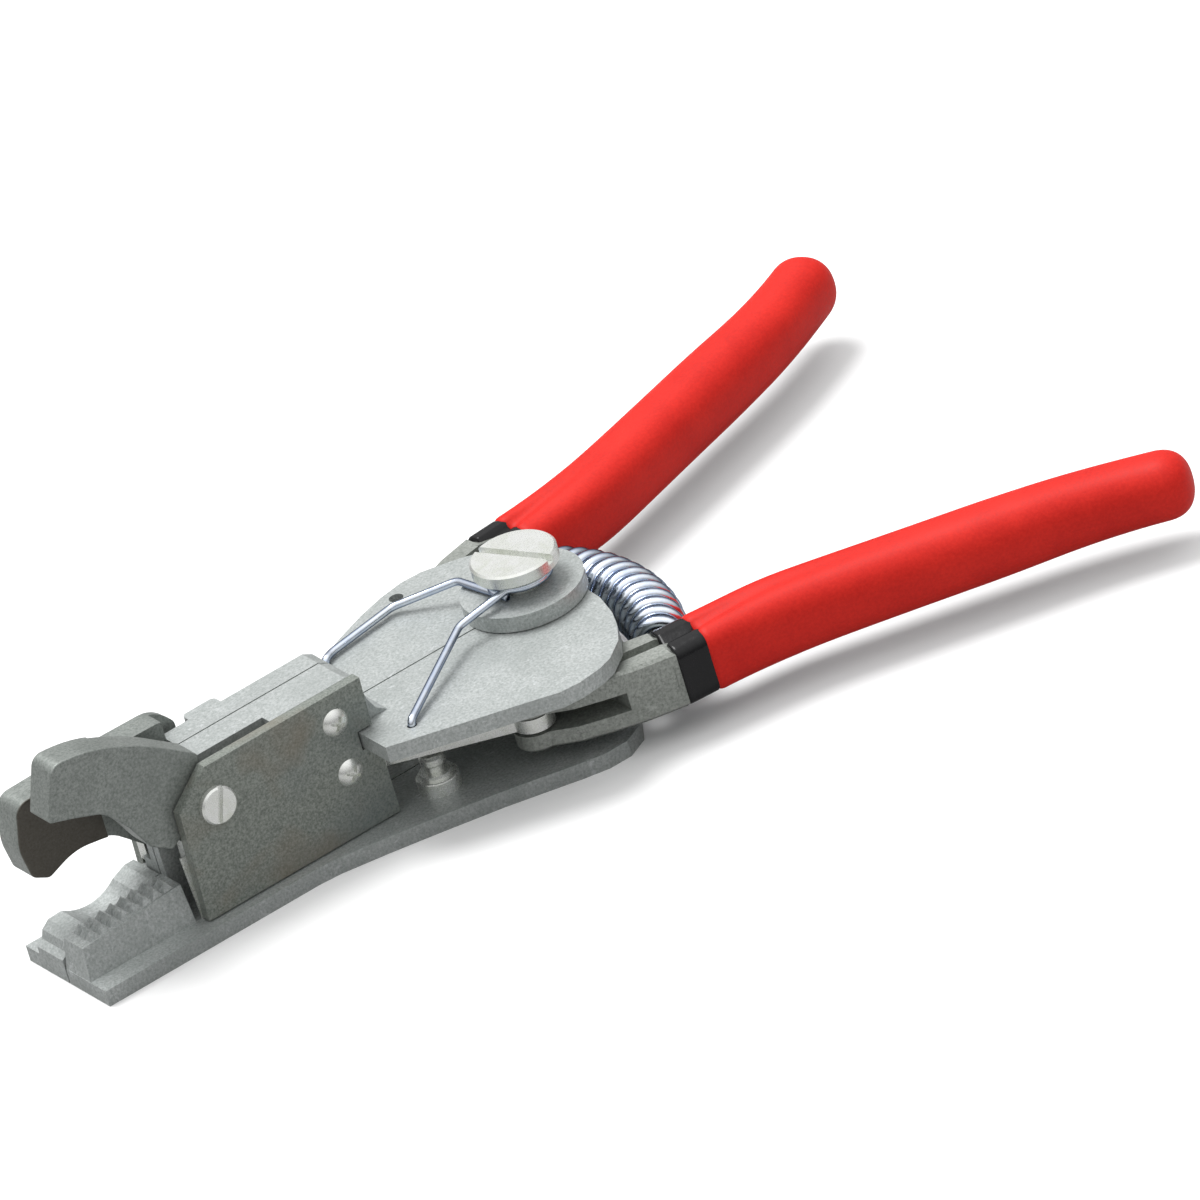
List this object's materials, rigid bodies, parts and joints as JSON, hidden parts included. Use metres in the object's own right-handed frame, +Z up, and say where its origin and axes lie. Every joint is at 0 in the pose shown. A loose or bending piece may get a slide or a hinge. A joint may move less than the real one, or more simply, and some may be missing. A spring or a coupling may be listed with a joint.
{
  "type": "automatic wire stripping plier",
  "caption": "Automatic wire-stripping plier: two sprung frames on one pivot bolt, hinged upper jaws over lower jaws, sliding links and dipped grips.",
  "frame": {"origin": "on the axis of the main pivot bolt, in the plane of the flat underside", "axes": "+X from the jaws to the handles along the parting line, +Y towards the frame with the hooked jaw, +Z up along the pivot bolt towards its head"},
  "size_m": [0.1867, 0.1144, 0.0404],
  "materials": {
    "cast_metal": "matte, fine-grained casting",
    "side_plate": "dull pressed sheet",
    "zinc_plate": "bright zinc plating",
    "spring_wire": "bright plated wire",
    "red_vinyl": "dipped coating, fine grain",
    "black_vinyl": "satin"
  },
  "bodies": {
    "near_frame": {"near_frame_casting": "cast_metal", "near_side_plate": "side_plate", "near_plate_screws": "zinc_plate", "near_jaw_screw": "zinc_plate", "near_guide_stud": "zinc_plate", "near_guide_strip": "zinc_plate", "pivot_bolt": "zinc_plate", "frame_spring": "spring_wire"},
    "far_frame": {"far_frame_casting": "cast_metal", "far_side_plate": "side_plate", "far_plate_screws": "zinc_plate", "far_jaw_screw": "zinc_plate", "far_guide_stud": "zinc_plate"},
    "near_handle": {"near_handle_arm": "cast_metal", "near_handle_band": "black_vinyl", "near_handle_grip": "red_vinyl", "near_link_pin": "zinc_plate", "handle_spring": "spring_wire"},
    "far_handle": {"far_handle_arm": "cast_metal", "far_handle_band": "black_vinyl", "far_handle_grip": "red_vinyl", "far_link_pin": "zinc_plate"},
    "near_upper_jaw": {"near_upper_jaw": "cast_metal", "near_drive_pin": "zinc_plate"},
    "far_upper_jaw": {"far_upper_jaw": "cast_metal", "far_drive_pin": "zinc_plate"},
    "near_link": {"near_link": "zinc_plate"},
    "far_link": {"far_link": "zinc_plate"}
  },
  "joints": [
    {"name": "frame_spread", "type": "hinge", "parent": "near_frame", "child": "far_frame", "pos_m": [0, 0, 0], "axis": [0, 0, -1], "range_deg": [0, 18], "stiffness_Nm_per_rad": 1.2, "springref_deg": -22.92, "deforming": ["frame_spring"]},
    {"name": "near_squeeze", "type": "hinge", "parent": "near_frame", "child": "near_handle", "pos_m": [0, 0, 0], "axis": [0, 0, 1], "range_deg": [0, 16], "stiffness_Nm_per_rad": 2, "springref_deg": -22.92, "deforming": ["handle_spring"]},
    {"name": "far_squeeze", "type": "hinge", "parent": "far_frame", "child": "far_handle", "pos_m": [0, 0, 0], "axis": [0, 0, -1], "range_deg": [0, 16]},
    {"name": "near_jaw_close", "type": "hinge", "parent": "near_frame", "child": "near_upper_jaw", "pos_m": [-0.0657, -0.0048, 0.021], "axis": [0, -1, 0], "range_deg": [0, 45]},
    {"name": "far_jaw_close", "type": "hinge", "parent": "far_frame", "child": "far_upper_jaw", "pos_m": [-0.0657, 0.0048, 0.021], "axis": [0, -1, 0], "range_deg": [0, 22.5]},
    {"name": "near_link_swing", "type": "hinge", "parent": "near_handle", "child": "near_link", "pos_m": [-0.0128, -0.017, 0.0104], "axis": [0, 0, 1], "range_deg": [-19, 0]},
    {"name": "far_link_swing", "type": "hinge", "parent": "far_handle", "child": "far_link", "pos_m": [-0.0128, 0.017, 0.0104], "axis": [0, 0, -1], "range_deg": [-19, 0]}
  ],
  "couplings": [
    {"joint": "far_squeeze", "follows": "near_squeeze", "ratio": 1},
    {"joint": "near_jaw_close", "follows": "near_squeeze", "ratio": 2.8125},
    {"joint": "far_jaw_close", "follows": "near_squeeze", "ratio": 1.4062},
    {"joint": "near_link_swing", "follows": "near_squeeze", "ratio": -1.186},
    {"joint": "far_link_swing", "follows": "near_squeeze", "ratio": -1.186}
  ]
}
